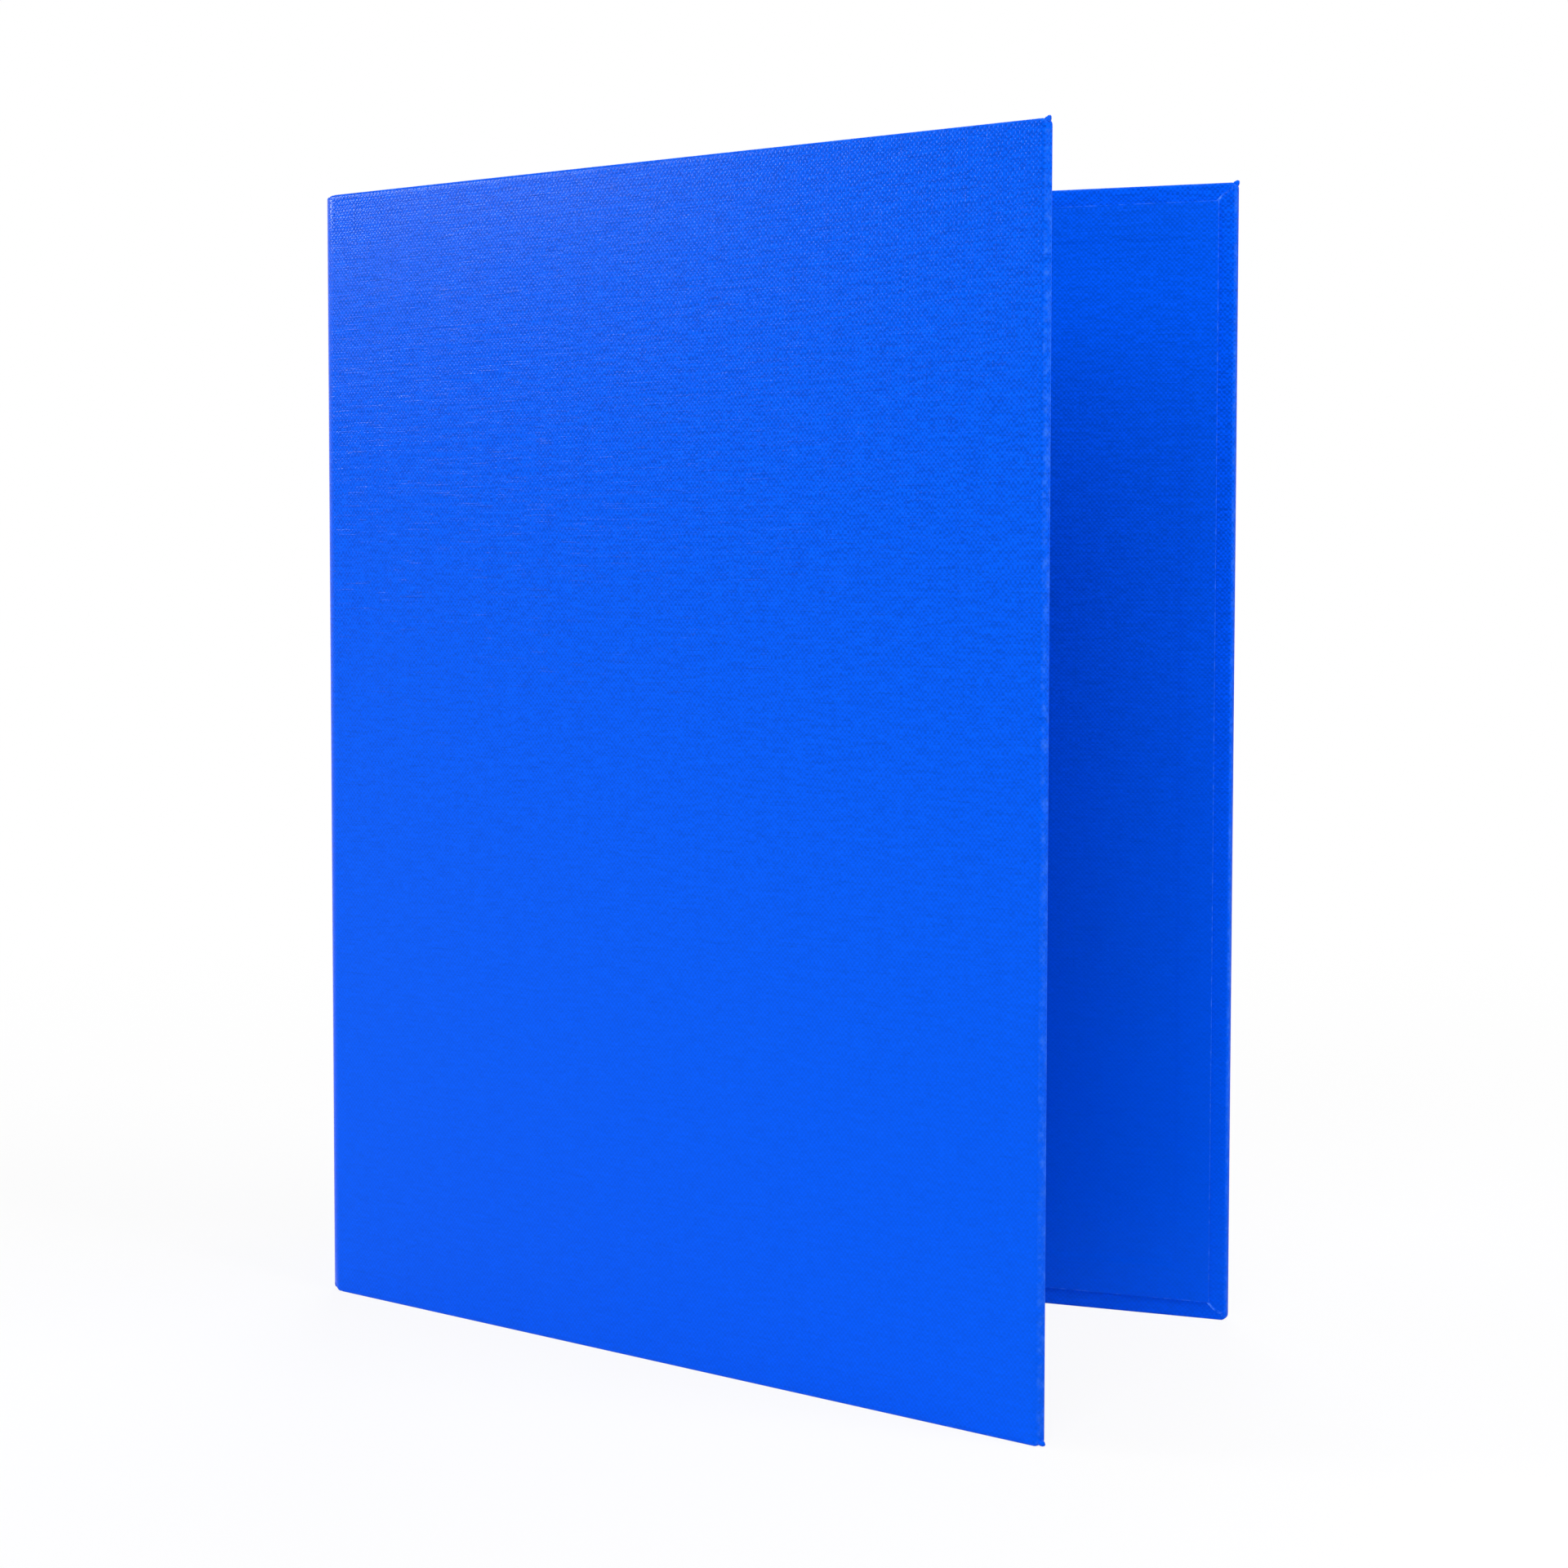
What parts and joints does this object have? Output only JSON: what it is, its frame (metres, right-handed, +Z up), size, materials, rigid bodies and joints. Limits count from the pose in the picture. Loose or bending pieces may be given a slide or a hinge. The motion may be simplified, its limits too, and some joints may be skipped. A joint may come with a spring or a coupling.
{
  "type": "two-ring binder",
  "caption": "Wide ring binder for punched A4 sheets: textured cover boards hinged to a spine with finger ring and label pocket, and a D-ring mechanism with levers inside the back cover.",
  "frame": {"origin": "middle of the footprint, on the surface that the binder stands on", "axes": "+Z up along the spine, +X from the spine towards the free edges of the covers, +Y out of the back cover's side, so the front cover is on the -Y side"},
  "size_m": [0.261, 0.2044, 0.318],
  "materials": {
    "covering": "satin",
    "liner": "satin",
    "board": "matte",
    "nickel": "polished",
    "film": "gloss",
    "card": "matte"
  },
  "bodies": {
    "spine": {"spine_covering": "covering", "spine_board": "board", "spine_liner": "liner", "finger_ring_eyelet": "nickel", "finger_ring_washer": "nickel", "label_pocket": "film", "label_card": "card"},
    "front_cover": {"front_covering": "covering", "front_board": "board", "front_liner": "liner", "front_hinge_strip": "covering"},
    "back_cover": {"back_covering": "covering", "back_board": "board", "back_liner": "liner", "back_hinge_strip": "covering", "ring_housing": "nickel", "upper_housing_rivet": "nickel", "lower_housing_rivet": "nickel", "upper_rivet_spacer": "nickel", "lower_rivet_spacer": "nickel", "upper_lever_pin": "nickel", "lower_lever_pin": "nickel"},
    "post_side": {"post_carrier_plate": "nickel", "upper_ring_post": "nickel", "lower_ring_post": "nickel"},
    "bow_side": {"bow_carrier_plate": "nickel", "upper_ring_bow": "nickel", "lower_ring_bow": "nickel"},
    "upper_thumb_lever": {"upper_lever": "nickel"},
    "lower_thumb_lever": {"lower_lever": "nickel"}
  },
  "joints": [
    {"name": "front_hinge", "type": "hinge", "parent": "spine", "child": "front_cover", "pos_m": [-0.12936, 0.02802, 0.159], "axis": [0, 0, -1], "range_deg": [-29.5, 60.5], "deforming": ["front_hinge_strip"]},
    {"name": "back_hinge", "type": "hinge", "parent": "spine", "child": "back_cover", "pos_m": [-0.12936, 0.10302, 0.159], "axis": [0, 0, 1], "range_deg": [-1.2, 101.2], "deforming": ["back_hinge_strip"]},
    {"name": "ring_opening", "type": "hinge", "parent": "back_cover", "child": "post_side", "pos_m": [-0.07078, 0.08382, 0.159], "axis": [0, 0, 1], "range_deg": [0, 13]},
    {"name": "bow_opening", "type": "hinge", "parent": "back_cover", "child": "bow_side", "pos_m": [-0.09864, 0.08934, 0.159], "axis": [0, 0, -1], "range_deg": [0, 13]},
    {"name": "upper_lever_turn", "type": "hinge", "parent": "back_cover", "child": "upper_thumb_lever", "pos_m": [-0.08471, 0.08658, 0.236], "axis": [-0.981, 0.1942, 0], "range_deg": [0, 24.98]},
    {"name": "lower_lever_turn", "type": "hinge", "parent": "back_cover", "child": "lower_thumb_lever", "pos_m": [-0.08471, 0.08658, 0.082], "axis": [0.981, -0.1942, 0], "range_deg": [0, 24.98]}
  ],
  "couplings": [
    {"joint": "bow_opening", "follows": "ring_opening", "ratio": 1},
    {"joint": "upper_lever_turn", "follows": "ring_opening", "ratio": 1.9214},
    {"joint": "lower_lever_turn", "follows": "ring_opening", "ratio": 1.9214}
  ]
}
